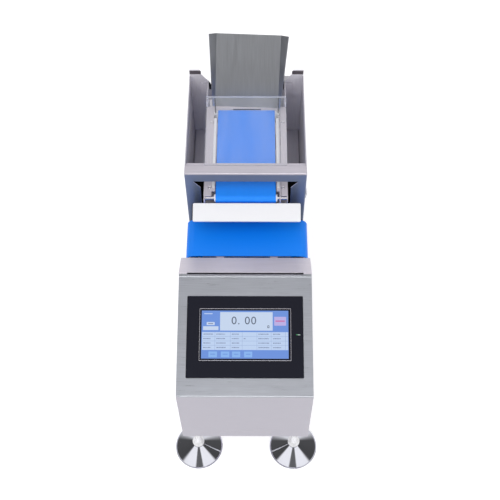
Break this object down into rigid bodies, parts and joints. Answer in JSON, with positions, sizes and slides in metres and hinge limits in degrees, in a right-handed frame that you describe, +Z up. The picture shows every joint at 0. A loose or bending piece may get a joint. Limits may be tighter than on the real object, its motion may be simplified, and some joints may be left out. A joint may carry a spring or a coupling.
{
  "type": "checkweigher",
  "caption": "In-line checkweigher with a sloped operator console, a cross outfeed belt, a weigh belt under a clear lid in a draught hood, an infeed chute and levelling feet.",
  "frame": {"origin": "on the floor, under the middle of the base", "axes": "+X to the operator's right, +Y away from the operator along the base towards the chute, +Z up"},
  "size_m": [0.295, 0.755, 0.5801],
  "materials": {
    "stainless_sheet": "satin",
    "chute_steel": "satin",
    "dark_bracket": "satin",
    "frame_aluminium": "satin",
    "cover_pale": "satin",
    "weigh_belt_blue": "matte",
    "cross_belt_blue": "matte",
    "plate_white": "satin",
    "lid_clear": "clear gloss",
    "roller_white": "satin",
    "roller_steel": "satin",
    "pulley_aluminium": "satin",
    "timing_rubber": "matte",
    "bearing_steel": "satin",
    "motor_dark": "satin",
    "foot_chrome": "polished",
    "nut_steel": "satin",
    "bezel_dark": "satin",
    "screen_glass": "gloss",
    "housing_black": "matte",
    "clamp_zinc": "satin",
    "board_green": "satin"
  },
  "bodies": {
    "machine": {"base_bottom": "stainless_sheet", "base_deck": "stainless_sheet", "base_side_left": "stainless_sheet", "base_side_right": "stainless_sheet", "cell_pedestal": "frame_aluminium", "chute": "chute_steel", "chute_brackets": "dark_bracket", "console_bottom": "stainless_sheet", "console_cap": "stainless_sheet", "console_side_left": "stainless_sheet", "console_side_right": "stainless_sheet", "console_wrap": "stainless_sheet", "controller_board": "board_green", "cross_bearings": "bearing_steel", "cross_bed": "frame_aluminium", "cross_belt": "cross_belt_blue", "cross_motor": "motor_dark", "cross_rail_front": "dark_bracket", "cross_rail_rear": "dark_bracket", "drive_cover": "cover_pale", "foot_bosses": "nut_steel", "hmi_bezel": "bezel_dark", "hmi_clamps": "clamp_zinc", "hmi_housing": "housing_black", "hmi_screen": "screen_glass", "hood_portal": "stainless_sheet", "hood_wing_left": "stainless_sheet", "hood_wing_right": "stainless_sheet", "inlet_socket": "housing_black", "junction_box": "cover_pale", "load_cell": "frame_aluminium", "lock_nuts": "nut_steel", "nose_shaft": "roller_steel", "power_supply": "clamp_zinc", "rear_panel": "stainless_sheet", "switch_frame": "housing_black", "timing_belt": "timing_rubber", "transfer_brackets": "frame_aluminium", "transfer_plate": "plate_white", "weigh_bearings": "bearing_steel", "weigh_bed": "frame_aluminium", "weigh_belt": "weigh_belt_blue", "weigh_cradle": "frame_aluminium", "weigh_frame_left": "frame_aluminium", "weigh_frame_right": "frame_aluminium", "weigh_motor": "motor_dark"},
    "lid": {"hood_lid": "lid_clear"},
    "weigh_drive": {"drive_roller": "roller_steel", "drive_pulley": "pulley_aluminium"},
    "weigh_nose": {"nose_roller": "roller_white"},
    "weigh_motor_rotor": {"motor_shaft": "roller_steel", "motor_pulley": "pulley_aluminium"},
    "cross_drive": {"cross_drive_roller": "roller_steel"},
    "cross_idle": {"cross_idle_roller": "roller_steel"},
    "front_left_foot": {"foot_front_left": "foot_chrome"},
    "front_right_foot": {"foot_front_right": "foot_chrome"},
    "rear_left_foot": {"foot_rear_left": "foot_chrome"},
    "rear_right_foot": {"foot_rear_right": "foot_chrome"},
    "power_rocker": {"switch_rocker": "housing_black"}
  },
  "joints": [
    {"name": "lid_lift", "type": "slide", "parent": "machine", "child": "lid", "axis": [0, 0, 1], "range_m": [0, 0.15]},
    {"name": "weigh_drive_turn", "type": "hinge", "parent": "machine", "child": "weigh_drive", "pos_m": [0, 0.1965, 0.4395], "axis": [1, 0, 0], "continuous": true},
    {"name": "weigh_nose_turn", "type": "hinge", "parent": "machine", "child": "weigh_nose", "pos_m": [0, -0.0035, 0.444], "axis": [1, 0, 0], "continuous": true},
    {"name": "weigh_motor_turn", "type": "hinge", "parent": "machine", "child": "weigh_motor_rotor", "pos_m": [0.06, 0.1695, 0.398], "axis": [1, 0, 0], "continuous": true},
    {"name": "cross_drive_turn", "type": "hinge", "parent": "machine", "child": "cross_drive", "pos_m": [0.1025, -0.054, 0.37], "axis": [0, 1, 0], "continuous": true},
    {"name": "cross_idle_turn", "type": "hinge", "parent": "machine", "child": "cross_idle", "pos_m": [-0.0975, -0.054, 0.37], "axis": [0, 1, 0], "continuous": true},
    {"name": "power_rocker_tilt", "type": "hinge", "parent": "machine", "child": "power_rocker", "pos_m": [-0.005, 0.3615, 0.219], "axis": [0, 0, 1], "range_deg": [-16, 0]},
    {"name": "front_left_level", "type": "slide", "parent": "machine", "child": "front_left_foot", "axis": [0, 0, 1], "range_m": [-0.012, 0.015]},
    {"name": "rear_left_level", "type": "slide", "parent": "machine", "child": "rear_left_foot", "axis": [0, 0, 1], "range_m": [-0.012, 0.015]},
    {"name": "front_right_level", "type": "slide", "parent": "machine", "child": "front_right_foot", "axis": [0, 0, 1], "range_m": [-0.012, 0.015]},
    {"name": "rear_right_level", "type": "slide", "parent": "machine", "child": "rear_right_foot", "axis": [0, 0, 1], "range_m": [-0.012, 0.015]}
  ],
  "couplings": [
    {"joint": "weigh_nose_turn", "follows": "weigh_drive_turn", "ratio": 1.625},
    {"joint": "weigh_motor_turn", "follows": "weigh_drive_turn", "ratio": 1.2},
    {"joint": "cross_idle_turn", "follows": "cross_drive_turn", "ratio": 1}
  ]
}
